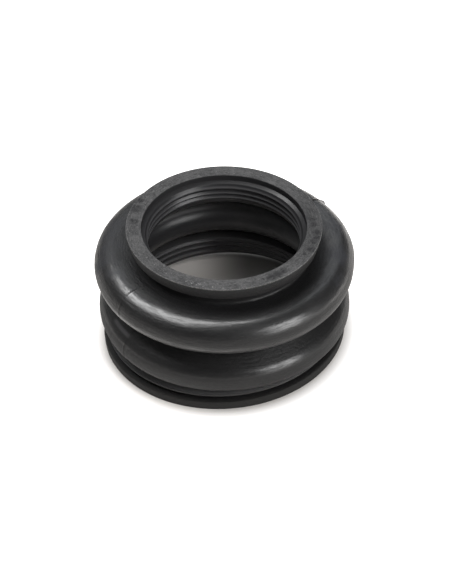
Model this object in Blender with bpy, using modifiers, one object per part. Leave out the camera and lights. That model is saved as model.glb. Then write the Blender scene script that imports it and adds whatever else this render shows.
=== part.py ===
# A ball joint boot: one moulded rubber sleeve with two round folds.
# It stands on its wide flange. Z is the axis, and the origin is the middle of the underside.
# All sizes are in metres. Heights are stacked from the underside up.

import math

import bpy

# Diameters and what is set back from them
BOOT_DIAMETER = 0.05400
LOWER_FOLD_SETBACK = 0.00055
BOTTOM_FLANGE_SETBACK = 0.00125
TOP_FLANGE_DIAMETER = 0.04050
VALLEY_DEPTH = 0.00485
WALL = 0.00170

# Wide end: flange, narrow groove, small lip and the hollow under the lower fold
BOTTOM_FLANGE_THICKNESS = 0.00190
BOTTOM_GROOVE_HEIGHT = 0.00090
BOTTOM_GROOVE_DEPTH = 0.00215
LIP_THICKNESS = 0.00045
LIP_SETBACK = 0.00080
UNDERCUT_DEPTH = 0.00165
UNDERCUT_HEIGHT = 0.00110
BOTTOM_RIM_WIDTH = 0.00125
COLLAR_WALL = 0.00200
COLLAR_LIP_HEIGHT = 0.00255
COLLAR_LAND = 0.00045

# Folds and the valley between them, as corners that are rounded afterwards
LOWER_FOLD_BAND = 0.00530
LOWER_FLANK_RISE = 0.00355
VALLEY_HEIGHT = 0.00164
UPPER_FLANK_DROP = 0.00038
UPPER_FOLD_BAND = 0.00814
SHOULDER_DROP = 0.00045
UPPER_FOLD_ROUND = 0.00385
LOWER_FOLD_ROUND = 0.00295
LOWER_SHOULDER_ROUND = 0.00360
VALLEY_ROUND = 0.00090

# Narrow end: groove for the retaining ring, flange and stepped mouth
RING_GROOVE_HEIGHT = 0.00250
RING_GROOVE_DEPTH = 0.00225
RING_GROOVE_ROUND = 0.00120
NECK_WALL = 0.00175
NECK_ROOF_THICKNESS = 0.00200
NECK_ROOF_ROUND = 0.00160
TOP_FLANGE_THICKNESS = 0.00305
TOP_FLANGE_DRAFT = 0.00070
MOUTH_STEP = 0.00080
MOUTH_DEPTH = 0.00140
LEDGE_DROP = 0.00033

# Sealing ribs inside both ends
TOP_RIB_COUNT = 3
TOP_RIB_PITCH = 0.00115
FIRST_RIB_HEIGHT = 0.00167
BOTTOM_RIB_COUNT = 3
BOTTOM_RIB_PITCH = 0.00125
RIB_HEIGHT = 0.00045

EDGE_ROUND = 0.00025
SEGMENTS = 52
CHORD_HEIGHT = 0.00008


def clear_scene():
    for item in list(bpy.data.objects):
        bpy.data.objects.remove(item, do_unlink=True)


def unit(start, end):
    """Direction from one outline point to another, and the distance."""
    dr, dz = end[0] - start[0], end[1] - start[1]
    length = math.hypot(dr, dz)
    return (dr / length, dz / length), length


def turn_angle(before, after):
    """Signed turn from one direction to the next, positive to the left."""
    cross = before[0] * after[1] - before[1] * after[0]
    dot = before[0] * after[0] + before[1] * after[1]
    return math.atan2(cross, dot)


def offset_corners(corners, distance):
    """Move an open outline to its right by a wall. The rounds stay concentric."""
    moved = []
    for index in range(1, len(corners) - 1):
        radius, height, fillet = corners[index]
        before, _ = unit(corners[index - 1], corners[index])
        after, _ = unit(corners[index], corners[index + 1])
        turn = turn_angle(before, after)
        along = math.tan(turn / 2)
        right = (before[1], -before[0])
        moved.append((
            radius + distance * (right[0] + before[0] * along),
            height + distance * (right[1] + before[1] * along),
            max(fillet + math.copysign(distance, turn), EDGE_ROUND),
        ))
    return moved


def rounded(corners):
    """Round each corner of a closed outline, with arcs that fit their sides."""
    count = len(corners)
    sides = [unit(corners[i], corners[(i + 1) % count]) for i in range(count)]
    turns = [turn_angle(sides[i - 1][0], sides[i][0]) for i in range(count)]
    reach = [corners[i][2] * abs(math.tan(turns[i] / 2)) for i in range(count)]
    fit = [min(1.0, sides[i][1] / max(reach[i] + reach[(i + 1) % count], 1e-9)) for i in range(count)]
    points = []
    for i in range(count):
        points += corner_arc(corners[i], sides[i - 1][0], turns[i], min(fit[i - 1], fit[i]))
    return without_doubles(points)


def corner_arc(corner, before, turn, share):
    """Points of one rounded corner, as many as its chord height asks for."""
    radius, height, fillet = corner
    fillet *= share
    if fillet < CHORD_HEIGHT:
        return [(radius, height)]
    reach = fillet * abs(math.tan(turn / 2))
    side = math.copysign(1.0, turn)
    start = (radius - before[0] * reach, height - before[1] * reach)
    centre = (start[0] - before[1] * side * fillet, start[1] + before[0] * side * fillet)
    step = 2 * math.acos(1 - CHORD_HEIGHT / fillet)
    parts = max(1, math.ceil(abs(turn) / step))
    first = math.atan2(start[1] - centre[1], start[0] - centre[0])
    angles = [first + turn * part / parts for part in range(parts + 1)]
    return [(centre[0] + fillet * math.cos(a), centre[1] + fillet * math.sin(a)) for a in angles]


def without_doubles(points):
    """Leave out points that meet where one arc runs into the next."""
    kept = []
    for point in points:
        if not kept or math.dist(point, kept[-1]) > CHORD_HEIGHT:
            kept.append(point)
    if math.dist(kept[0], kept[-1]) < CHORD_HEIGHT:
        kept.pop()
    return kept


def rib_corners(root_radius, height, pitches):
    """Sharp sealing ribs on a bore wall, from a height downwards."""
    corners = [(root_radius, height, 0)]
    for pitch in pitches:
        corners.append((root_radius - RIB_HEIGHT, height - pitch / 2, 0))
        height -= pitch
        corners.append((root_radius, height, 0))
    return corners


def boot_outline():
    """Section of the boot: down its outside, then up its inside."""
    upper_radius = BOOT_DIAMETER / 2
    lower_radius = upper_radius - LOWER_FOLD_SETBACK
    valley_radius = lower_radius - VALLEY_DEPTH
    flange_radius = upper_radius - BOTTOM_FLANGE_SETBACK
    lip_radius = flange_radius - LIP_SETBACK
    undercut_radius = lip_radius - UNDERCUT_DEPTH
    groove_radius = flange_radius - BOTTOM_GROOVE_DEPTH
    top_radius = TOP_FLANGE_DIAMETER / 2
    neck_radius = top_radius - RING_GROOVE_DEPTH

    groove_top = BOTTOM_FLANGE_THICKNESS + BOTTOM_GROOVE_HEIGHT
    lip_top = groove_top + LIP_THICKNESS
    underside = lip_top + UNDERCUT_HEIGHT
    lower_fold_head = underside + LOWER_FOLD_BAND
    valley_foot = lower_fold_head + LOWER_FLANK_RISE
    valley_head = valley_foot + VALLEY_HEIGHT
    upper_fold_foot = valley_head - UPPER_FLANK_DROP
    upper_fold_head = upper_fold_foot + UPPER_FOLD_BAND
    shoulder = upper_fold_head - SHOULDER_DROP
    flange_foot = shoulder + RING_GROOVE_HEIGHT
    top = flange_foot + TOP_FLANGE_THICKNESS

    folds = [
        (neck_radius, flange_foot, EDGE_ROUND),
        (neck_radius, shoulder, RING_GROOVE_ROUND),
        (upper_radius, upper_fold_head, UPPER_FOLD_ROUND),
        (upper_radius, upper_fold_foot, UPPER_FOLD_ROUND),
        (valley_radius, valley_head, VALLEY_ROUND),
        (valley_radius, valley_foot, VALLEY_ROUND),
        (lower_radius, lower_fold_head, LOWER_SHOULDER_ROUND),
        (lower_radius, underside, LOWER_FOLD_ROUND),
    ]
    outside = [
        (top_radius, top, EDGE_ROUND),
        (top_radius - TOP_FLANGE_DRAFT, flange_foot, EDGE_ROUND),
        *folds,
        (undercut_radius, underside, EDGE_ROUND),
        (undercut_radius, lip_top, 0),
        (lip_radius, lip_top, 0),
        (lip_radius, groove_top, 0),
        (groove_radius, groove_top, 0),
        (groove_radius, BOTTOM_FLANGE_THICKNESS, 0),
        (flange_radius, BOTTOM_FLANGE_THICKNESS, EDGE_ROUND),
        (flange_radius, 0, 0),
    ]

    collar_radius = groove_radius - COLLAR_WALL
    cavity_floor = underside + COLLAR_LIP_HEIGHT
    collar = rib_corners(collar_radius, cavity_floor, [BOTTOM_RIB_PITCH] * BOTTOM_RIB_COUNT)
    collar.append((collar_radius, collar[-1][1] - COLLAR_LAND, 0))

    bore_radius = neck_radius - NECK_WALL
    mouth_radius = bore_radius + MOUTH_STEP
    mouth_foot = top - MOUTH_DEPTH
    pitches = [FIRST_RIB_HEIGHT] + [TOP_RIB_PITCH] * (TOP_RIB_COUNT - 1)
    bore = rib_corners(bore_radius, mouth_foot - LEDGE_DROP, pitches)

    cavity = offset_corners(folds, WALL)
    inner_neck = (bore_radius, shoulder - NECK_ROOF_THICKNESS, NECK_ROOF_ROUND)
    inside = [
        (flange_radius - BOTTOM_RIM_WIDTH, 0, 0),
        *reversed(collar),
        (lower_radius - WALL, cavity_floor, EDGE_ROUND),
        *reversed(cavity[1:]),
        inner_neck,
        *reversed(bore),
        (mouth_radius, mouth_foot, 0),
        (mouth_radius, top, EDGE_ROUND),
    ]
    return rounded(outside + inside)


def rubber_material():
    material = bpy.data.materials.new("black_rubber")
    material.use_nodes = True
    shader = material.node_tree.nodes["Principled BSDF"]
    shader.inputs["Base Color"].default_value = (0.018, 0.018, 0.019, 1.0)
    shader.inputs["Roughness"].default_value = 0.45
    shader.inputs["Metallic"].default_value = 0.0
    return material


def turned_object(name, outline, material, collection):
    """Turn a closed outline round the Z axis with a Screw modifier."""
    points = [(radius, 0.0, height) for radius, height in outline]
    edges = [(i, (i + 1) % len(points)) for i in range(len(points))]
    mesh = bpy.data.meshes.new(name)
    mesh.from_pydata(points, edges, [])
    item = bpy.data.objects.new(name, mesh)
    collection.objects.link(item)
    mesh.materials.append(material)
    screw = item.modifiers.new("turn", "SCREW")
    screw.axis = "Z"
    screw.angle = 2 * math.pi
    screw.steps = SEGMENTS
    screw.render_steps = SEGMENTS
    screw.use_merge_vertices = True
    screw.merge_threshold = 0.00001
    screw.use_smooth_shade = True
    return item


def build():
    clear_scene()
    collection = bpy.data.collections.new("ball_joint_boot")
    bpy.context.scene.collection.children.link(collection)
    turned_object("boot", boot_outline(), rubber_material(), collection)


build()
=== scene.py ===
import math
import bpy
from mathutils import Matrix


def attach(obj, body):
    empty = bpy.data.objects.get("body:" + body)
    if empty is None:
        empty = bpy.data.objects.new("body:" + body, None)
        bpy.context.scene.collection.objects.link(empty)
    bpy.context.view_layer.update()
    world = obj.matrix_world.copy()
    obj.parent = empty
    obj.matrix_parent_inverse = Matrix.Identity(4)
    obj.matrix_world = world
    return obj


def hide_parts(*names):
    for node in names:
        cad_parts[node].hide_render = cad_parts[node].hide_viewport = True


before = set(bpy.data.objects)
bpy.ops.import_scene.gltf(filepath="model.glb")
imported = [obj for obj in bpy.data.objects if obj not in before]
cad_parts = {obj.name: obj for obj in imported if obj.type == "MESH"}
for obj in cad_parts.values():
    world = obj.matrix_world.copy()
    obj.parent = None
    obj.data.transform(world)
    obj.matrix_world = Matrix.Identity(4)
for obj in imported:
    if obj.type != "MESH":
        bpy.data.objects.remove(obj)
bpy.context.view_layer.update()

from types import SimpleNamespace

import bpy
from mathutils import Matrix, Vector

print("frame loaded:", ", ".join(sorted(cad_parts)))

mm = 0.001


class Wire:
    # a node's socket with maths on it
    def __init__(self, maker, socket):
        self.maker = maker
        self.socket = socket

    def other(self, name):
        return Wire(self.maker, self.socket.node.outputs[name])

    def __add__(self, other):
        return self.maker.maths("ADD", self, other)

    def __radd__(self, other):
        return self.maker.maths("ADD", other, self)

    def __sub__(self, other):
        return self.maker.maths("SUBTRACT", self, other)

    def __rsub__(self, other):
        return self.maker.maths("SUBTRACT", other, self)

    def __mul__(self, other):
        return self.maker.maths("MULTIPLY", self, other)

    def __rmul__(self, other):
        return self.maker.maths("MULTIPLY", other, self)

    def __truediv__(self, other):
        return self.maker.maths("DIVIDE", self, other)

    def __rtruediv__(self, other):
        return self.maker.maths("DIVIDE", other, self)

    def __neg__(self):
        return self.maker.maths("MULTIPLY", self, -1.0)


class NodeMaker:
    def __init__(self, tree):
        self.tree = tree

    def node(self, nodeType, settings=None, values=None, out=0):
        made = self.tree.nodes.new(nodeType)
        for name, value in (settings or {}).items():
            setattr(made, name, value)
        for name, value in (values or {}).items():
            self.feed(made.inputs[name], value)
        return Wire(self, made.outputs[out]) if made.outputs else made

    def feed(self, socket, value):
        if isinstance(value, Wire):
            self.tree.links.new(value.socket, socket)
        else:
            socket.default_value = value

    def maths(self, operation, *values):
        return self.node("ShaderNodeMath", {"operation": operation}, dict(enumerate(values)))

    def vectorMaths(self, operation, *values, out=0):
        return self.node("ShaderNodeVectorMath", {"operation": operation}, dict(enumerate(values)), out)

    def scaled(self, vector, scale):
        return self.node("ShaderNodeVectorMath", {"operation": "SCALE"}, {0: vector, "Scale": scale})

    def split(self, vector):
        x = self.node("ShaderNodeSeparateXYZ", {}, {"Vector": vector})
        return x, x.other("Y"), x.other("Z")

    def joined(self, x, y, z):
        return self.node("ShaderNodeCombineXYZ", {}, {"X": x, "Y": y, "Z": z})

    def fromAxis(self, x, y):
        return self.maths("SQRT", x * x + y * y)

    def larger(self, first, second):
        return self.maths("MAXIMUM", first, second)

    def step(self, value, low, high):
        return self.node("ShaderNodeMapRange", {"interpolation_type": "SMOOTHSTEP"}, {
            "Value": value, "From Min": low, "From Max": high})

    def noise(self, place, scale, detail=2.0, roughness=0.5):
        return self.node("ShaderNodeTexNoise", {}, {
            "Vector": place, "Scale": scale, "Detail": detail, "Roughness": roughness})

    def blend(self, share, first, second):
        return self.node("ShaderNodeMix", {"data_type": "RGBA"}, {0: share, 6: first, 7: second}, 2)

    def attribute(self, name, out="Fac"):
        return self.node("ShaderNodeAttribute", {"attribute_name": name}, out=out)

    def stored(self, geometry, name, kind, value):
        return self.node("GeometryNodeStoreNamedAttribute", {"data_type": kind, "domain": "POINT"}, {
            "Geometry": geometry, "Name": name, "Value": value})


def fromLeast(least, share):
    # from the least up to 1
    return least + (1.0 - least) * share


# the boot, in mm and degrees: corners of its section have a radius, a height and a rounding
boot = {
    "outside": [  # from the mouth down to the foot
        (20.25, 27.70, 0.12),
        (19.55, 24.65, 0.25),
        (18.00, 24.65, 0.25),
        (18.00, 22.15, 0.55),
        (27.08, 22.60, 3.85),
        (27.08, 14.46, 3.85),
        (21.60, 14.84, 0.90),
        (21.60, 13.20, 0.90),
        (26.50, 9.65, 3.60),
        (26.50, 4.35, 2.95),
        (23.30, 4.35, 0.20),
        (23.30, 3.25, 0.15),
        (24.95, 3.25, 0.12),
        (24.95, 2.80, 0.12),
        (23.60, 2.80, 0.15),
        (23.60, 1.90, 0.15),
        (25.75, 1.90, 0.25),
        (25.75, 0.00, 0.15),
    ],
    "innerFolds": [  # a wall's thickness outside the hollow, from the neck down
        (18.00, 22.15, 1.20),
        (27.00, 22.60, 3.85),
        (27.00, 14.46, 3.85),
        (20.80, 14.84, 2.00),
        (20.80, 11.24, 2.00),
        (26.45, 9.43, 2.95),
        (26.45, 4.35, 2.95),
    ],
    "wall": 1.70,
    "footRadius": 24.50,
    "collar": {"radius": 21.60, "top": 6.90, "pitches": (1.25, 1.25, 1.25), "height": 0.45},
    "collarFoot": (2.70, 0.15),  # height and rounding
    "hollowRadius": 24.75,
    "neckFoot": (20.15, 1.60),
    "neck": {"radius": 16.25, "top": 25.97, "pitches": (1.67, 1.15, 1.15), "height": 0.45},
    "mouth": (17.05, 26.30),  # radius, and height of the ledge inside it
    "edgeRounds": {
        "foot": 0.15,
        "hollow": 0.25,
        "ledge": 0.10,
        "mouth": 0.18,
        "ribFoot": 0.10,
        "ribCrest": 0.14,
    },
    "leastRound": 0.20,  # for a corner that is moved in by the wall
    "roundStep": 10.0,  # degrees of a rounded corner for each face
    "smallRounds": 0.45,  # share of those faces that the smallest corners get
    "longest": 1.0,
    "shortest": 0.01,
    "turns": 290,  # faces round the boot
    "crowding": 0.40,  # how far they gather at the mould line
    "mouldTurn": 215.5,  # where the mould line is, in degrees
    "flashFront": 0.09,
    "flashBack": 0.65,
    "flashWidth": 0.30,
    "flashPatches": (420.0, 0.40, 0.62),  # scale of the noise, and where it starts and is full
    "flashLeast": 0.15,  # share of its height between the patches
    "mismatch": 0.05,  # the two mould halves don't quite meet
    "mismatchReach": 2.5,
    "waviness": 0.10,
    "waveScale": 110.0,
    "swell": 0.26,  # the upper fold is fuller at the back end of the mould line
    "swellTurn": (0.72, 0.88),  # cosine of the turn from there
    "swellHeight": (13.0, 16.5),
    "skinRadius": 20.5,  # the skin outside this and above that has these marks
    "skinHeight": 3.3,
    "leanRight": 2.68,  # the boot stands a little crooked
    "leanBack": 0.57,
    "shift": 0.26,
    "leanFrom": 2.0,
    "leanTo": 6.5,
    "leanPivot": 4.05,
}


def direction(start, end):
    dr, dz = end[0] - start[0], end[1] - start[1]
    length = math.hypot(dr, dz)
    return (dr / length, dz / length), length


def turnBetween(before, after):
    cross = before[0] * after[1] - before[1] * after[0]
    dot = before[0] * after[0] + before[1] * after[1]
    return math.atan2(cross, dot)


def offsetCorners(corners, distance):
    moved = []
    for index in range(1, len(corners) - 1):
        radius, height, rounding = corners[index]
        before, _ = direction(corners[index - 1], corners[index])
        after, _ = direction(corners[index], corners[index + 1])
        turn = turnBetween(before, after)
        along = math.tan(turn / 2)
        moved.append((
            radius + distance * (before[1] + before[0] * along),
            height + distance * (before[1] * along - before[0]),
            max(rounding + math.copysign(distance, turn), boot["leastRound"]),
        ))
    return moved


def ribCorners(ribs):
    foot, crest = boot["edgeRounds"]["ribFoot"], boot["edgeRounds"]["ribCrest"]
    height = ribs["top"]
    corners = [(ribs["radius"], height, foot)]
    for pitch in ribs["pitches"]:
        corners.append((ribs["radius"] - ribs["height"], height - pitch / 2, crest))
        height -= pitch
        corners.append((ribs["radius"], height, foot))
    return corners


def insideCorners():
    folds = offsetCorners(boot["innerFolds"], boot["wall"])
    neck, collar, rounds = boot["neck"], boot["collar"], boot["edgeRounds"]
    mouthRadius, ledge = boot["mouth"]
    return [
        (boot["footRadius"], 0.0, rounds["foot"]),
        (collar["radius"], *boot["collarFoot"]),
        *reversed(ribCorners(collar)),
        (boot["hollowRadius"], collar["top"], rounds["hollow"]),
        *reversed(folds),
        (neck["radius"], *boot["neckFoot"]),
        *reversed(ribCorners(neck)),
        (mouthRadius, ledge, rounds["ledge"]),
        (mouthRadius, boot["outside"][0][1], rounds["mouth"]),
    ]


def roundedOutline(corners, outsideCount):
    # points of radius, height and whether they are inside
    count = len(corners)
    sides = [direction(corners[i], corners[(i + 1) % count]) for i in range(count)]
    turns = [turnBetween(sides[i - 1][0], sides[i][0]) for i in range(count)]
    reach = [corners[i][2] * abs(math.tan(turns[i] / 2)) for i in range(count)]
    fit = [min(1.0, sides[i][1] / max(reach[i] + reach[(i + 1) % count], 1e-9)) for i in range(count)]
    points = []
    for i in range(count):
        arc = arcPoints(corners[i], sides[i - 1][0], turns[i], min(fit[i - 1], fit[i]))
        points += [(radius, height, float(i >= outsideCount)) for radius, height in arc]
    return points


def arcPoints(corner, before, turn, share):
    radius, height, rounding = corner
    rounding *= share
    reach = rounding * abs(math.tan(turn / 2))
    side = math.copysign(1.0, turn)
    start = (radius - before[0] * reach, height - before[1] * reach)
    centre = (start[0] - before[1] * side * rounding, start[1] + before[0] * side * rounding)
    fineness = min(1.0, boot["smallRounds"] + rounding)
    parts = max(2, math.ceil(abs(math.degrees(turn)) / boot["roundStep"] * fineness))
    first = math.atan2(start[1] - centre[1], start[0] - centre[0])
    angles = [first + turn * part / parts for part in range(parts + 1)]
    return [(centre[0] + rounding * math.cos(a), centre[1] + rounding * math.sin(a)) for a in angles]


def evenOutline(points):
    # no doubles, and no long stretch without a point
    kept = []
    for index, point in enumerate(points):
        before = points[index - 1]
        gap = math.dist(before[:2], point[:2])
        if gap < boot["shortest"]:
            continue
        parts = math.ceil(gap / boot["longest"])
        for part in range(1, parts + 1):
            share = part / parts
            radius, height = (before[i] + (point[i] - before[i]) * share for i in (0, 1))
            kept.append((radius, height, point[2]))
    return kept


def sectionMesh(name, pathRadius):
    corners = boot["outside"] + insideCorners()
    outline = evenOutline(roundedOutline(corners, len(boot["outside"])))
    mesh = bpy.data.meshes.new(name)
    count = len(outline)
    points = [(radius * mm - pathRadius, -height * mm, 0.0) for radius, height, _ in outline]
    mesh.from_pydata(points, [(i, (i + 1) % count) for i in range(count)], [])
    inner = mesh.attributes.new("inner", "FLOAT", "POINT")
    inner.data.foreach_set("value", [point[2] for point in outline])
    # length along the section, starting at the foot
    steps = [math.dist(outline[i - 1][:2], outline[i][:2]) * mm for i in range(count)]
    foot = max(i for i in range(count) if outline[i][2] == 0.0)
    lengths = [0.0] * count
    for offset in range(1, count):
        here = (foot + offset) % count
        lengths[here] = lengths[here - 1] + steps[here]
    along = mesh.attributes.new("along", "FLOAT", "POINT")
    along.data.foreach_set("value", lengths)
    return mesh


def treeValues():
    # what each of the tree's inputs is called, and what it gets
    angles = {"Mould turn": "mouldTurn", "Lean right": "leanRight", "Lean back": "leanBack"}
    lengths = {
        "Flash front": "flashFront", "Flash back": "flashBack", "Flash width": "flashWidth",
        "Mismatch": "mismatch", "Mismatch reach": "mismatchReach", "Waviness": "waviness", "Swell": "swell",
        "Skin radius": "skinRadius", "Skin height": "skinHeight",
        "Shift": "shift", "Lean from": "leanFrom", "Lean to": "leanTo", "Lean pivot": "leanPivot",
    }
    values = {"Turns": boot["turns"], "Crowding": boot["crowding"]}
    values.update({label: math.radians(boot[name]) for label, name in angles.items()})
    values.update({label: boot[name] * mm for label, name in lengths.items()})
    return values


def turnedShell(maker, given, pathRadius):
    section = maker.node("GeometryNodeMeshToCurve", {}, {"Mesh": given("Section")})
    ring = maker.node("GeometryNodeCurvePrimitiveCircle", {}, {
        "Resolution": given("Turns"), "Radius": pathRadius})
    shell = maker.node("GeometryNodeCurveToMesh", {}, {"Curve": ring, "Profile Curve": section})

    # gather the faces at both ends of the mould line
    x, y, z = maker.split(maker.node("GeometryNodeInputPosition"))
    turn = maker.maths("ARCTAN2", y, x)
    radius = maker.fromAxis(x, y)
    turn = turn - given("Crowding") * maker.maths("SINE", (turn - given("Mould turn")) * 2.0)
    placed = maker.joined(radius * maker.maths("COSINE", turn), radius * maker.maths("SINE", turn), z)
    shell = maker.node("GeometryNodeSetPosition", {}, {"Geometry": shell, "Position": placed})

    # keep the straight shape for the material
    shell = maker.stored(shell, "moulded", "FLOAT_VECTOR", maker.node("GeometryNodeInputPosition"))
    upward = maker.split(maker.node("GeometryNodeInputNormal"))[2]
    return maker.stored(shell, "upward", "FLOAT", upward)


def markedShell(maker, given, shell):
    # flash and mismatch at the mould line, and a skin that isn't quite true
    straight = maker.node("GeometryNodeInputPosition")
    x, y, z = maker.split(straight)
    radius = maker.fromAxis(x, y)
    mouldSine = maker.maths("SINE", given("Mould turn"))
    mouldCosine = maker.maths("COSINE", given("Mould turn"))
    across = x * mouldSine - y * mouldCosine
    forward = x * mouldCosine + y * mouldSine
    gap = maker.maths("ABSOLUTE", across)

    patchScale, patchStart, patchFull = boot["flashPatches"]
    patchy = maker.step(maker.noise(straight, patchScale, 1.0), patchStart, patchFull)
    ahead = maker.maths("GREATER_THAN", forward, 0.0)
    flash = given("Flash back") + (given("Flash front") - given("Flash back")) * ahead
    flash = flash * maker.larger(1.0 - gap / given("Flash width"), 0.0)
    flash = flash * fromLeast(boot["flashLeast"], patchy)
    fading = maker.maths("EXPONENT", -gap / given("Mismatch reach"))
    halves = maker.maths("SIGN", across) * fading * given("Mismatch") * 0.5
    wave = (maker.noise(straight, boot["waveScale"], 1.0) - 0.5) * given("Waviness")
    foot, head = boot["swellHeight"]
    fuller = maker.step(-forward / radius, *boot["swellTurn"]) * maker.step(z, foot * mm, head * mm)

    inner = maker.node("GeometryNodeInputNamedAttribute", {"data_type": "FLOAT"}, {"Name": "inner"})
    outerSkin = maker.maths("GREATER_THAN", radius, given("Skin radius")) * (1.0 - inner)
    outerSkin = outerSkin * maker.maths("GREATER_THAN", z, given("Skin height"))
    raised = (flash + halves + wave + fuller * given("Swell")) * outerSkin
    lift = maker.scaled(maker.node("GeometryNodeInputNormal"), raised)
    return maker.node("GeometryNodeSetPosition", {}, {"Geometry": shell, "Offset": lift})


def leaningShell(maker, given, shell):
    # the foot stays flat, and what is above it leans
    x, y, z = maker.split(maker.node("GeometryNodeInputPosition"))
    share = maker.step(z, given("Lean from"), given("Lean to"))
    height = z - given("Lean pivot")
    cosRight = maker.maths("COSINE", given("Lean right"))
    sinRight = maker.maths("SINE", given("Lean right"))
    cosBack = maker.maths("COSINE", given("Lean back"))
    sinBack = maker.maths("SINE", given("Lean back"))
    leanX = x * cosRight + height * sinRight + given("Shift")
    upright = height * cosRight - x * sinRight
    leanY = y * cosBack - upright * sinBack
    leanZ = y * sinBack + upright * cosBack + given("Lean pivot")
    offset = maker.joined((leanX - x) * share, (leanY - y) * share, (leanZ - z) * share)
    return maker.node("GeometryNodeSetPosition", {}, {"Geometry": shell, "Offset": offset})


def turnedTree(pathRadius, values):
    tree = bpy.data.node_groups.new("turnedBoot", "GeometryNodeTree")
    face = tree.interface
    face.new_socket("Section", in_out="INPUT", socket_type="NodeSocketGeometry")
    for label, value in values.items():
        kind = "NodeSocketInt" if isinstance(value, int) else "NodeSocketFloat"
        face.new_socket(label, in_out="INPUT", socket_type=kind)
    face.new_socket("Material", in_out="INPUT", socket_type="NodeSocketMaterial")
    face.new_socket("Boot", in_out="OUTPUT", socket_type="NodeSocketGeometry")
    maker = NodeMaker(tree)
    given = maker.node("NodeGroupInput").other
    shell = turnedShell(maker, given, pathRadius)
    shell = markedShell(maker, given, shell)
    shell = leaningShell(maker, given, shell)
    shell = maker.node("GeometryNodeSetShadeSmooth", {}, {"Geometry": shell})
    shell = maker.node("GeometryNodeRealizeInstances", {}, {"Geometry": shell})
    shell = maker.node("GeometryNodeSetMaterial", {}, {"Geometry": shell, "Material": given("Material")})
    maker.node("NodeGroupOutput", {}, {"Boot": shell})
    return tree


def bakedPiece(name, startMesh, tree, values):
    holder = bpy.data.objects.new(name, startMesh)
    bpy.context.scene.collection.objects.link(holder)
    modifier = holder.modifiers.new("turned", "NODES")
    modifier.node_group = tree
    for socket in tree.interface.items_tree:
        if socket.in_out == "INPUT" and socket.name in values:
            modifier[socket.identifier] = values[socket.name]
    depsgraph = bpy.context.evaluated_depsgraph_get()
    mesh = bpy.data.meshes.new_from_object(holder.evaluated_get(depsgraph), depsgraph=depsgraph)
    holder.modifiers.clear()
    holder.data = mesh
    mesh.name = name
    return holder


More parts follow.
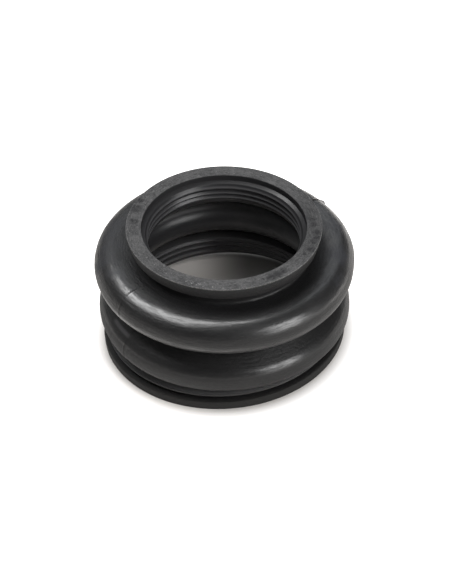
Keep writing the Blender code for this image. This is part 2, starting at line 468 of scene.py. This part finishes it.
# the rubber's finish, on the straight boot as it left the mould
rubber = {
    "colours": {
        "black": (0.0120, 0.0120, 0.0125, 1),
        # lighter than the outside black: painted fill light for the dark inside
        "inside": (0.0225, 0.0225, 0.0240, 1),
        "crest": (0.140, 0.140, 0.146, 1),  # painted highlights on the crests of the ribs and of the bulge inside
        "paintedFillShadedWall": (0.098, 0.098, 0.100, 1),  # painted fill light on the hollow's shaded right side
        # painted fill light in the valley between the folds and in the undercut above the foot
        "paintedFillLight": (0.115, 0.115, 0.117, 1),
        "paintedFillLightStrong": (0.160, 0.160, 0.158, 1),  # stronger painted fill light in the hollows under the folds and in the groove by the foot
        "bloom": (0.027, 0.028, 0.033, 1),  # dull bluish film on the shoulder
        "flangeSide": (0.024, 0.024, 0.0245, 1),
        "footSide": (0.017, 0.0167, 0.0162, 1),
        "faceDark": (0.040, 0.040, 0.0415, 1),
        "faceLight": (0.112, 0.112, 0.113, 1),
        # for the scuffs, and to make the face's right side darker
        "scuff": (0.020, 0.020, 0.0215, 1),
        "worn": (0.380, 0.380, 0.375, 1),
        # painted highlight: the streak on the lower fold
        "pale": (0.080, 0.080, 0.084, 1),
        "seam": (0.004, 0.004, 0.004, 1),
    },
    "shares": {  # how much of its colour each mark gets
        "ribCrest": 0.50,
        "bulgeCrest": 0.75,
        "paintedFillShadedWall": 0.80,
        "paintedGrooveLightRight": 0.60,
        "bloomLeast": 0.55,
        "faceRightDarker": 0.30,
        "speckle": 0.35,
        "rim": 0.10,
        "rimSpots": 0.25,
        "worn": 0.80,
        "pale": 0.80,
        "seam": 0.70,
        "seamGrain": 0.40,
    },
    "ior": 1.45,
    "coatIor": 1.92,
    "coatRoughness": 0.25,
    "roughness": {
        "folds": 0.37,
        "inside": 0.32,
        "sides": 0.55,
        "face": 0.85,
        "smears": 0.16,  # this and the rest are what each one adds
        "bloom": 0.22,
        "undersides": 0.08,
        "lowerFold": 0.02,
        "lowerFoldLeft": 0.16,
        "foot": 0.20,
        "ringGroove": 0.35,
        "ledge": 0.30,
        "shelf": 0.45,
        "footSide": 0.20,
    },
    "relief": {"stipple": 0.038, "grain": 0.080, "streaks": 0.050, "scratches": 0.120},  # mm
    "smoothing": {"inside": 0.95, "lowerFold": 0.50, "lowerFlank": 0.40},
    "patterns": {  # scale, detail and roughness
        "grain": (1.7, 3.0, 0.6),
        "cloud": (0.24, 4.0, 0.6),
        "stipple": (3.4, 3.0, 0.7),
        "speckle": (2.1, 1.0, 0.5),
        "wander": (1.1, 3.0, 0.6),
    },
    "streaks": {  # scale over the section and round the boot, detail and roughness
        "smear": (2.4, 2.2, 3.0, 0.6),
        "broadSmear": (0.7, 1.6, 3.0, 0.55),
        "scratches": (2.0, 9.0, 4.0, 0.7),
        "brushed": (3.2, 16.0, 3.0, 0.7),
    },
    "straying": 1.6,  # mm that the spots' outlines wander
    "spotCore": 0.35,  # share of a spot's size that is full
    "mottle": {"cloud": 0.25, "stipple": 0.35, "brushed": 0.40},
    "edges": {  # where each zone starts and where it is full
        # heights in mm
        "face": (27.50, 27.66),
        "rimTop": (27.35, 27.50),
        "wornTop": (27.20, 27.50),
        "ledge": (25.70, 25.90),
        "flangeSide": (24.62, 24.80),
        "ringGroove": (20.00, 21.50),
        "bulgeTop": (17.00, 19.00),
        "valleyTop": (16.00, 17.50),
        "upperHollow": (15.40, 17.00),
        "shadedTop": (15.00, 18.00),
        "lowerFoldTop": (13.00, 14.00),
        "valleyFoot": (12.60, 13.60),
        "lowerHollow": (8.80, 10.20),
        "paleFoot": (8.00, 9.00),
        "shelfTop": (7.00, 7.20),
        "hollowFoot": (7.00, 7.40),
        "shelfFoot": (6.70, 6.82),
        "footTop": (3.60, 4.60),
        "paintedGrooveLightTop": (2.72, 2.86),
        "footSideTop": (1.95, 2.10),
        "undercutFoot": (1.92, 2.05),
        # radii in mm
        "footSide": (24.60, 25.30),
        "undercut": (24.60, 25.10),
        "valley": (21.00, 24.00),
        "shoulder": (20.50, 23.50),
        "bulgeCrestEnd": (21.20, 21.45),
        "bulgeCrest": (20.50, 21.00),
        "rim": (20.06, 20.18),
        "neck": (18.90, 19.60),
        "hollow": (18.00, 21.00),
        "ledgeInside": (16.15, 16.35),
        "ribCrest": (15.85, 16.10),
        # mm from a line
        "paintedHighlightStreak": (0.10, 0.55),
        "mouldLine": (0.05, 0.16),
        # turns, as shares of the radius to the left, to the right or to the back
        "left": (0.30, 0.90),
        "right": (0.50, 0.85),
        "shaded": (0.20, 1.10),
        "bulgeLeft": (0.00, 0.25),
        "faceRightDarker": (0.80, 0.95),
        "paleTurn": (0.989, 0.996),
        "paintedGrooveLightRight": (0.20, 0.50),
        "grooveRight": (-0.10, 0.30),
        "footRight": (0.10, 0.40),
        "filmLeft": (0.25, 0.60),
        "filmRight": (0.00, 0.35),
        "lowFilmRight": (-0.15, 0.25),
        "lowFilmFarRight": (0.45, 0.62),
        "filmBack": (-0.32, -0.14),
        "filmFarRight": (0.88, 0.97),
        # how far the skin faces up, from -1 to 1
        "facesOut": (0.10, 0.50),
        "facesDown": (-0.40, 0.00),
        "filmUp": (0.55, 0.88),
        "filmUpLeft": (0.82, 0.95),
        "filmUpRight": (0.30, 0.55),
        "lowFilmUp": (0.30, 0.45),
        "lowFilmUpEnd": (0.66, 0.76),
        "smoothFlank": (0.66, 0.78),
        "insideFilmUp": (-0.35, 0.10),
        "insideFilmUpEnd": (0.60, 0.75),
        "farRightUp": (0.50, 0.80),
        # values of a pattern
        "speckles": (0.68, 0.76),
        "bloomClouds": (0.36, 0.62),
        "bloomGrain": (0.35, 0.65),
        "scuffs": (0.37, 0.53),
        "wornSpots": (0.50, 0.62),
        "rimSpots": (0.45, 0.60),
        "mottles": (0.38, 0.62),
        "seamPatches": (0.50, 0.70),
        "filmSmears": (0.36, 0.60),
        "filmScratches": (0.40, 0.56),
    },
    "film": {  # shares of the oily film
        "undersides": 0.60,
        "undersidesLow": 0.25,
        "lowFold": 0.85,
        "lowLeft": 0.30,
        "lowFarRight": 0.80,
        "inside": 0.15,
        "insideUp": 0.75,
        "insideBulge": 0.80,
        "bloom": 0.80,
        "ledge": 0.90,
        "shaded": 0.80,
        "smears": 0.62,
        "neck": 0.15,
        "scratches": 0.45,
        "leftBack": 0.55,
        "farRight": 0.70,
    },
    # spots: radius, turn in degrees, height and size
    "bloomSpots": [
        (24.2, 163.0, 22.2, 5.0),
        (23.2, 180.0, 22.3, 4.5),
        (22.6, 197.0, 22.3, 4.0),
        (25.6, 170.0, 21.2, 3.6),
        (25.6, 188.0, 21.2, 3.6),
        (23.0, 12.0, 22.4, 5.0),
        (24.4, 350.0, 22.2, 4.5),
        (24.2, 333.0, 22.2, 3.5),
        (23.8, 60.0, 22.4, 4.0),
        (24.0, 105.0, 22.4, 4.5),
    ],
    "scuffSpots": [
        (18.30, 3.0, 27.7, 1.20),
        (18.46, 358.0, 27.7, 1.30),
        (19.11, 350.0, 27.7, 1.50),
        (19.40, 345.0, 27.7, 1.10),
        (19.00, 341.0, 27.7, 1.20),
        (19.30, 333.5, 27.7, 1.40),
        (18.70, 328.0, 27.7, 0.60),
        (18.64, 307.0, 27.7, 1.30),
        (18.88, 302.0, 27.7, 1.50),
        (18.88, 297.0, 27.7, 1.30),
        (18.60, 292.0, 27.7, 0.60),
        (19.60, 152.0, 27.7, 1.30),
        (19.20, 160.0, 27.7, 1.80),
        (18.60, 173.0, 27.7, 1.40),
    ],
    "wornSpots": [
        (19.05, 244.5, 27.7, 0.42),
        (19.10, 248.0, 27.7, 0.50),
        (19.20, 252.0, 27.7, 0.55),
        (19.30, 256.0, 27.7, 0.50),
        (19.45, 261.0, 27.7, 0.50),
        (19.60, 266.5, 27.7, 0.45),
        (19.80, 272.0, 27.7, 0.40),
        (19.90, 277.5, 27.7, 0.35),
        (17.50, 215.2, 27.7, 0.40),
    ],
    "paintedHighlightStreak": (24.8, 208.5),  # radius and turn, on the lower fold
}


def rise(value, name):
    # 0 before the named edge and 1 after it
    return value.maker.step(value, *rubber["edges"][name])


def fall(value, name):
    return 1.0 - rise(value, name)


def spots(maker, place, marks):
    mask = 0.0
    for radius, turn, height, size in marks:
        centre = (radius * math.cos(math.radians(turn)), radius * math.sin(math.radians(turn)), height)
        gap = maker.vectorMaths("DISTANCE", place, centre, out="Value")
        near = 1.0 - maker.step(gap, size * rubber["spotCore"], size)
        mask = maker.larger(mask, near)
    return mask


def surfacePlaces(maker):
    # where on the straight boot, in mm, and how far the skin faces up
    moulded = maker.scaled(maker.attribute("moulded", "Vector"), 1 / mm)
    x, y, z = maker.split(moulded)
    radius = maker.fromAxis(x, y)
    inner = maker.attribute("inner")
    return SimpleNamespace(
        moulded=moulded, x=x, y=y, z=z, radius=radius, toRight=x / radius, toBack=y / radius,
        along=maker.attribute("along") / mm, up=maker.attribute("upward"), inner=inner, outer=1.0 - inner)


def surfacePatterns(maker, at):
    found = {name: maker.noise(at.moulded, *sizes) for name, sizes in rubber["patterns"].items()}
    for name, (over, around, detail, roughness) in rubber["streaks"].items():
        first = at.radius if name == "brushed" else at.along
        place = maker.joined(first * over, at.toRight * around, at.toBack * around)
        found[name] = maker.noise(place, 1.0, detail, roughness)
    return SimpleNamespace(**found)


def surfaceZones(maker, at):
    inner, outer, z, radius = at.inner, at.outer, at.z, at.radius
    zone = SimpleNamespace()
    zone.face = rise(z, "face")
    zone.flangeSide = outer * rise(z, "flangeSide") * (1.0 - zone.face)
    zone.footSide = outer * fall(z, "footSideTop") * rise(radius, "footSide")
    zone.sides = maker.larger(zone.flangeSide, zone.footSide)
    zone.lower = outer * fall(z, "lowerFoldTop")
    zone.foot = outer * fall(z, "footTop")
    zone.left = rise(-at.toRight, "left")
    zone.right = rise(at.toRight, "right")
    zone.valley = outer * rise(z, "valleyFoot") * fall(z, "valleyTop") * fall(radius, "valley")
    zone.undercut = outer * rise(z, "undercutFoot") * fall(z, "footTop") * fall(radius, "undercut")
    zone.ringGroove = fall(radius, "neck") * rise(z, "ringGroove") * fall(at.toRight, "grooveRight")
    # inside
    zone.ledge = inner * rise(radius, "ledgeInside") * rise(z, "ledge")
    zone.shelf = inner * rise(z, "shelfFoot") * fall(z, "shelfTop")
    zone.shaded = inner * fall(at.toBack - at.toRight, "shaded") * fall(z, "shadedTop")
    # painted highlights: lighter crests of the neck ribs all round, and of the bulge on its lit left side
    paintedBulgeHighlight = rise(radius, "bulgeCrest") * fall(radius, "bulgeCrestEnd") * rise(-at.toRight, "bulgeLeft")
    zone.crest = inner * maker.larger(
        rubber["shares"]["ribCrest"] * fall(radius, "ribCrest"), rubber["shares"]["bulgeCrest"] * paintedBulgeHighlight)
    hollow = maker.larger(rise(z, "upperHollow"), fall(z, "lowerHollow"))
    zone.hollow = inner * hollow * rise(radius, "hollow") * rise(z, "hollowFoot")
    return zone


def surfaceMarks(maker, at, pattern, zone):
    shares, face = rubber["shares"], zone.face
    wander = maker.vectorMaths("SUBTRACT", pattern.wander.other("Color"), (0.5, 0.5, 0.5))
    strayed = maker.vectorMaths("ADD", at.moulded, maker.scaled(wander, rubber["straying"]))
    mark = SimpleNamespace()
    bloom = at.outer * (1.0 - zone.flangeSide) * (1.0 - face) * spots(maker, strayed, rubber["bloomSpots"])
    bloom = bloom * rise(pattern.cloud, "bloomClouds")
    mark.bloom = bloom * fromLeast(shares["bloomLeast"], rise(pattern.grain, "bloomGrain"))
    scuff = face * spots(maker, strayed, rubber["scuffSpots"]) * rise(pattern.brushed, "scuffs")
    # and the face's right side made darker overall
    mark.scuff = maker.larger(scuff, shares["faceRightDarker"] * face * rise(at.toRight, "faceRightDarker"))
    worn = spots(maker, strayed, rubber["wornSpots"]) * rise(pattern.stipple, "wornSpots")
    mark.worn = worn * rise(at.z, "wornTop")
    mark.rim = rise(at.radius, "rim") * rise(at.z, "rimTop")

    # the painted highlight streak on the lower fold
    streakRadius, streakTurn = rubber["paintedHighlightStreak"]
    streakTurn = math.radians(streakTurn)
    toward = (at.x * math.cos(streakTurn) + at.y * math.sin(streakTurn)) / at.radius
    gap = maker.maths("ABSOLUTE", at.radius - streakRadius)
    mark.pale = zone.lower * fall(gap, "paintedHighlightStreak") * rise(toward, "paleTurn") * rise(at.z, "paleFoot")

    # the mould line
    mouldTurn = math.radians(boot["mouldTurn"])
    across = maker.maths("ABSOLUTE", at.x * math.sin(mouldTurn) - at.y * math.cos(mouldTurn))
    seam = fall(across, "mouldLine") * at.outer * (1.0 - zone.flangeSide)
    mark.seam = seam * rise(pattern.cloud + pattern.grain * shares["seamGrain"], "seamPatches")
    return mark


def rubberColour(maker, at, pattern, zone, mark):
    colours, shares, mottle = rubber["colours"], rubber["shares"], rubber["mottle"]
    # painted fill light in the groove by the foot, and further up on the right
    paintedGrooveLight = maker.larger(fall(at.z, "paintedGrooveLightTop"), shares["paintedGrooveLightRight"] * rise(at.toRight, "paintedGrooveLightRight"))
    mottled = sum(getattr(pattern, name) * share for name, share in mottle.items())
    faceColour = maker.blend(rise(mottled, "mottles"), colours["faceDark"], colours["faceLight"])
    rimShare = shares["rim"] + shares["rimSpots"] * rise(pattern.stipple, "rimSpots")
    seam = mark.seam * shares["seam"] * (1.0 - zone.face) * (1.0 - zone.lower)
    # the inside gets a lighter black, as painted fill light
    colour = maker.blend(at.inner, colours["black"], colours["inside"])
    for share, shade in (
        # painted highlights on the crests
        (zone.crest, colours["crest"]),
        # painted fill light in the valley and the undercut
        (zone.valley, colours["paintedFillLight"]),
        (zone.undercut, colours["paintedFillLight"]),
        # painted fill light in the groove and in the hollows
        (zone.undercut * paintedGrooveLight, colours["paintedFillLightStrong"]),
        (zone.hollow, colours["paintedFillLightStrong"]),
        # painted fill light over the shaded right side of the hollow
        (zone.shaded * shares["paintedFillShadedWall"], colours["paintedFillShadedWall"]),
        # painted fill light on the dark shelf inside, in the face's darker grey
        (zone.shelf, colours["faceDark"]),
        (mark.bloom, colours["bloom"]),
        (zone.flangeSide, colours["flangeSide"]),
        (zone.footSide, colours["footSide"]),
        (zone.face, faceColour),
        (zone.face * rise(pattern.speckle, "speckles") * shares["speckle"], colours["worn"]),
        (mark.scuff, colours["scuff"]),
        (mark.rim * rimShare, colours["worn"]),
        (mark.worn * shares["worn"], colours["worn"]),
        # painted highlight streak on the lower fold
        (mark.pale * shares["pale"], colours["pale"]),
        (seam, colours["seam"]),
    ):
        colour = maker.blend(share, colour, shade)
    return colour


def rubberRoughness(at, pattern, zone, mark):
    rough = rubber["roughness"]
    folds = rough["folds"] + rough["smears"] * (pattern.smear + pattern.cloud - 1.0)
    folds = folds + rough["bloom"] * mark.bloom + rough["undersides"] * fall(at.up, "facesOut")
    folds = folds + zone.lower * (rough["lowerFold"] + rough["lowerFoldLeft"] * zone.left)
    folds = folds + rough["foot"] * zone.foot * fall(at.toRight, "footRight")
    folds = folds + rough["ringGroove"] * zone.ringGroove
    dulled = rough["ledge"] * zone.ledge * (1.0 - zone.right) + rough["shelf"] * zone.shelf
    roughness = folds + (rough["inside"] - folds + dulled) * at.inner
    roughness = roughness + (rough["sides"] + rough["footSide"] * zone.footSide - roughness) * zone.sides
    return roughness + (rough["face"] - roughness) * zone.face


def oilyFilm(maker, at, pattern, zone, mark):
    shares, up, toRight = rubber["film"], at.up, at.toRight
    # on the folds: on what faces up, lower down their right side, and a little underneath
    top = rise(up, "filmUp")
    top = top + (rise(up, "filmUpLeft") - top) * rise(-toRight, "filmLeft")
    top = top + (rise(up, "filmUpRight") - top) * rise(toRight, "filmRight")
    low = rise(up, "lowFilmUp") * fall(up, "lowFilmUpEnd")
    low = low * fromLeast(shares["lowLeft"], rise(toRight, "lowFilmRight"))
    low = low * (1.0 - shares["lowFarRight"] * rise(toRight, "lowFilmFarRight"))
    under = fall(up + shares["undersidesLow"] * zone.lower, "facesDown") * at.outer
    under = under * fromLeast(shares["undersides"], zone.left)

    # inside: on all but what faces down, and less on the bulge
    inside = shares["inside"] + shares["insideUp"] * rise(up, "insideFilmUp")
    inside = inside * (1.0 - shares["insideBulge"] * rise(up, "insideFilmUpEnd") * fall(at.z, "bulgeTop"))

    film = maker.larger(top + (low - top) * zone.lower, inside * at.inner)
    film = maker.larger(film, under) * (1.0 - zone.face) * (1.0 - zone.sides) * (1.0 - zone.foot)
    film = film * (1.0 - shares["bloom"] * mark.bloom) * (1.0 - mark.seam)
    film = film * (1.0 - shares["ledge"] * zone.ledge * (1.0 - zone.right))
    film = film * (1.0 - zone.shelf) * (1.0 - shares["shaded"] * zone.shaded)
    film = film * fromLeast(shares["smears"], rise(pattern.broadSmear, "filmSmears"))
    film = film * fromLeast(shares["neck"], rise(at.radius, "shoulder"))
    film = film * fromLeast(shares["scratches"], rise(pattern.scratches, "filmScratches"))
    film = film * fromLeast(shares["lowFold"], 1.0 - zone.lower)
    film = film * (1.0 - shares["leftBack"] * at.outer * zone.left * rise(at.toBack, "filmBack"))
    farRight = at.outer * rise(toRight, "filmFarRight") * fall(up, "farRightUp")
    return film * (1.0 - shares["farRight"] * farRight)


def rubberRelief(at, pattern, zone):
    relief, smoothing = rubber["relief"], rubber["smoothing"]
    skin = at.outer * (1.0 - zone.face)
    height = (pattern.stipple - 0.5) * relief["stipple"] * zone.face
    height = height + (pattern.grain - 0.5) * relief["grain"] * (1.0 - smoothing["inside"] * at.inner)
    height = height + (pattern.smear - 0.5) * relief["streaks"] * skin
    smoother = smoothing["lowerFold"] + smoothing["lowerFlank"] * rise(at.up, "smoothFlank")
    return height + (pattern.scratches - 0.5) * relief["scratches"] * skin * (1.0 - zone.lower * smoother)


def rubberMaterial():
    material = bpy.data.materials.new("bootRubber")
    material.use_nodes = True
    material.node_tree.nodes.clear()
    maker = NodeMaker(material.node_tree)
    at = surfacePlaces(maker)
    pattern = surfacePatterns(maker, at)
    zone = surfaceZones(maker, at)
    mark = surfaceMarks(maker, at, pattern, zone)
    relief = rubberRelief(at, pattern, zone)
    shader = maker.node("ShaderNodeBsdfPrincipled", {}, {
        "Base Color": rubberColour(maker, at, pattern, zone, mark),
        "Roughness": rubberRoughness(at, pattern, zone, mark),
        "IOR": rubber["ior"],
        "Coat Weight": oilyFilm(maker, at, pattern, zone, mark),
        "Coat Roughness": rubber["coatRoughness"],
        "Coat IOR": rubber["coatIor"],
        "Normal": maker.node("ShaderNodeBump", {}, {"Strength": 1.0, "Distance": mm, "Height": relief})})
    maker.node("ShaderNodeOutputMaterial", {}, {"Surface": shader})
    return material


pathRadius = 20 * mm
values = treeValues()
tree = turnedTree(pathRadius, values)
values["Material"] = rubberMaterial()
piece = bakedPiece("rubberBoot", sectionMesh("section", pathRadius), tree, values)
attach(piece, "root")
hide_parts("boot")
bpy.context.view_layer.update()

# camera, as it stood for the photograph; lengths in flange radii
view = {
    "flangeRadius": 20.25 * mm,
    "elevation": 40.49,
    "roll": -3.96,
    "distance": 20.00,
    "across": -0.017,
    "down": 0.359,
    "focalPixels": 94.13 * 20.00,
    "longSide": 584,
    "sensor": 36.0,
    "nearest": 0.01,
    "furthest": 50.0,
}


def addCamera():
    tilt, roll = math.radians(view["elevation"]), math.radians(view["roll"])
    # rows: right, down and forward of the picture
    level = Matrix(((1, 0, 0), (0, -math.sin(tilt), -math.cos(tilt)), (0, math.cos(tilt), -math.sin(tilt))))
    rolled = Matrix(((math.cos(roll), -math.sin(roll), 0), (math.sin(roll), math.cos(roll), 0), (0, 0, 1)))
    rows = rolled @ level
    offset = Vector((view["across"], view["down"], view["distance"])) * view["flangeRadius"]
    centre = -(rows.transposed() @ offset)
    turn = Matrix((rows[0], -rows[1], -rows[2])).transposed()
    data = bpy.data.cameras.new("camera")
    data.sensor_width = view["sensor"]
    data.lens = view["focalPixels"] * view["sensor"] / view["longSide"]
    data.clip_start = view["nearest"]
    data.clip_end = view["furthest"]
    camera = bpy.data.objects.new("camera", data)
    camera.matrix_world = Matrix.Translation(centre) @ turn.to_4x4()
    bpy.context.scene.collection.objects.link(camera)
    bpy.context.scene.camera = camera


addCamera()


# soft lamps: turn is clockwise from straight behind the boot, seen from above, and rise is from the floor
lamps = {
    "keyLamp": {"turn": -50, "rise": 66.8, "distance": 1.2, "wide": 1.02, "tall": 0.72, "glow": 5.6},
    "sideLamp": {"turn": 130, "rise": 24, "distance": 1.2, "wide": 0.64, "tall": 0.85, "glow": 3.7},
    "backCard": {"turn": 8, "rise": 32, "distance": 1.4, "wide": 1.20, "tall": 1.10, "glow": 0.36,
                 "colour": (0.90, 0.95, 1.0)},
    # light for the hollow and the front, which leaves no gloss
    "fillLamp": {"turn": 137, "rise": 46, "distance": 1.2, "wide": 0.50, "tall": 0.50, "glow": 5.6,
                 "colour": (1.0, 0.98, 0.96), "unseen": True},
    "frontLamp": {"turn": 180, "rise": 41, "distance": 1.2, "wide": 0.30, "tall": 0.30, "glow": 3.6,
                  "unseen": True},
}


def addLamps():
    middle = Vector((0, 0, boot["outside"][0][1] * mm / 2))
    for name, lamp in lamps.items():
        turn, climb = math.radians(lamp["turn"]), math.radians(lamp["rise"])
        level = math.cos(climb)
        away = Vector((math.sin(turn) * level, math.cos(turn) * level, math.sin(climb)))
        data = bpy.data.lights.new(name, "AREA")
        data.shape = "RECTANGLE"
        data.size, data.size_y = lamp["wide"], lamp["tall"]
        data.energy = lamp["glow"] * math.pi * lamp["wide"] * lamp["tall"]  # glow 1 looks white
        data.color = lamp.get("colour", (1.0, 1.0, 1.0))
        made = bpy.data.objects.new(name, data)
        made.location = middle + away * lamp["distance"]
        made.rotation_euler = away.to_track_quat("Z", "Y").to_euler()
        made.visible_camera = False
        made.visible_glossy = not lamp.get("unseen", False)
        bpy.context.scene.collection.objects.link(made)


addLamps()

table = {
    "half": 6.0,
    "paper": (0.80, 0.775, 0.75, 1),
    "shine": 0.02,  # extra white that the camera sees close to the boot
    "openShine": 1.0,
    "mirrorShine": 0.26,  # and that a mirror sees
    "shadeFrom": 25.5,  # mm from the shade's middle
    "shadeTo": 29.3,
    "shadeCentre": (-0.3, -0.6, 0.0),
    "innerShade": (0.23, 0.225, 0.22, 1),  # the paper under the boot's right side
    "innerShadeSide": (-7.0, 7.0),  # mm to the right, where it starts and is full
    "innerShadeRim": (24.0, 25.0),
    "studio": 0.06,
    "horizon": (0.27, 0.262, 0.25, 1),
    "horizonRise": 0.06,
}


def mirrorRays(maker, path):
    return maker.larger(path.other("Is Glossy Ray"), path.other("Is Transmission Ray"))


def paperMaterial():
    material = bpy.data.materials.new("whitePaper")
    material.use_nodes = True
    material.node_tree.nodes.clear()
    maker = NodeMaker(material.node_tree)
    place = maker.node("ShaderNodeTexCoord", out="Object")
    sideFrom, sideTo = table["innerShadeSide"]
    rimFrom, rimTo = table["innerShadeRim"]
    fromMiddle = maker.vectorMaths("LENGTH", place, out="Value")
    inShade = maker.step(maker.split(place)[0], sideFrom * mm, sideTo * mm)
    inShade = inShade * (1.0 - maker.step(fromMiddle, rimFrom * mm, rimTo * mm))
    white = maker.node("ShaderNodeBsdfDiffuse", {}, {
        "Color": maker.blend(inShade, table["paper"], table["innerShade"])})
    path = maker.node("ShaderNodeLightPath", out="Is Camera Ray")
    shadeCentre = [mm * v for v in table["shadeCentre"]]
    away = maker.vectorMaths("DISTANCE", place, shadeCentre, out="Value")
    near = maker.node("ShaderNodeMapRange", {}, {
        "Value": away, "From Min": table["shadeFrom"] * mm, "From Max": table["shadeTo"] * mm,
        "To Min": table["shine"], "To Max": table["openShine"]})
    uncovered = maker.maths("GREATER_THAN", away, boot["footRadius"] * mm)
    shine = maker.node("ShaderNodeEmission", {}, {
        "Strength": uncovered * (path * near + mirrorRays(maker, path) * table["mirrorShine"])})
    both = maker.node("ShaderNodeAddShader", {}, {0: white, 1: shine})
    maker.node("ShaderNodeOutputMaterial", {}, {"Surface": both})
    return material


def addFloor():
    half = table["half"]
    corners = [(-half, -half, 0), (half, -half, 0), (half, half, 0), (-half, half, 0)]
    mesh = bpy.data.meshes.new("floor")
    mesh.from_pydata(corners, [], [(0, 1, 2, 3)])
    mesh.materials.append(paperMaterial())
    floor = bpy.data.objects.new("floor", mesh)
    bpy.context.scene.collection.objects.link(floor)


def addWorld():
    world = bpy.data.worlds.new("studio")
    world.use_nodes = True
    world.node_tree.nodes.clear()
    maker = NodeMaker(world.node_tree)
    path = maker.node("ShaderNodeLightPath", out="Is Camera Ray")
    height = maker.split(maker.node("ShaderNodeTexCoord", out="Generated"))[2]
    low = mirrorRays(maker, path) * (1.0 - maker.step(height, 0.0, table["horizonRise"]))
    grey = table["studio"]
    dim = maker.node("ShaderNodeBackground", {}, {"Color": (grey, grey, grey, 1)})
    pale = maker.node("ShaderNodeBackground", {}, {"Color": table["horizon"]})
    white = maker.node("ShaderNodeBackground", {}, {"Color": (1, 1, 1, 1)})
    around = maker.node("ShaderNodeMixShader", {}, {0: low, 1: dim, 2: pale})
    both = maker.node("ShaderNodeMixShader", {}, {0: path, 1: around, 2: white})
    maker.node("ShaderNodeOutputWorld", {}, {"Surface": both})
    bpy.context.scene.world = world


addFloor()
addWorld()
bpy.context.scene.view_settings.view_transform = "Standard"
print("stage: floor, studio and", len(lamps), "lamps")
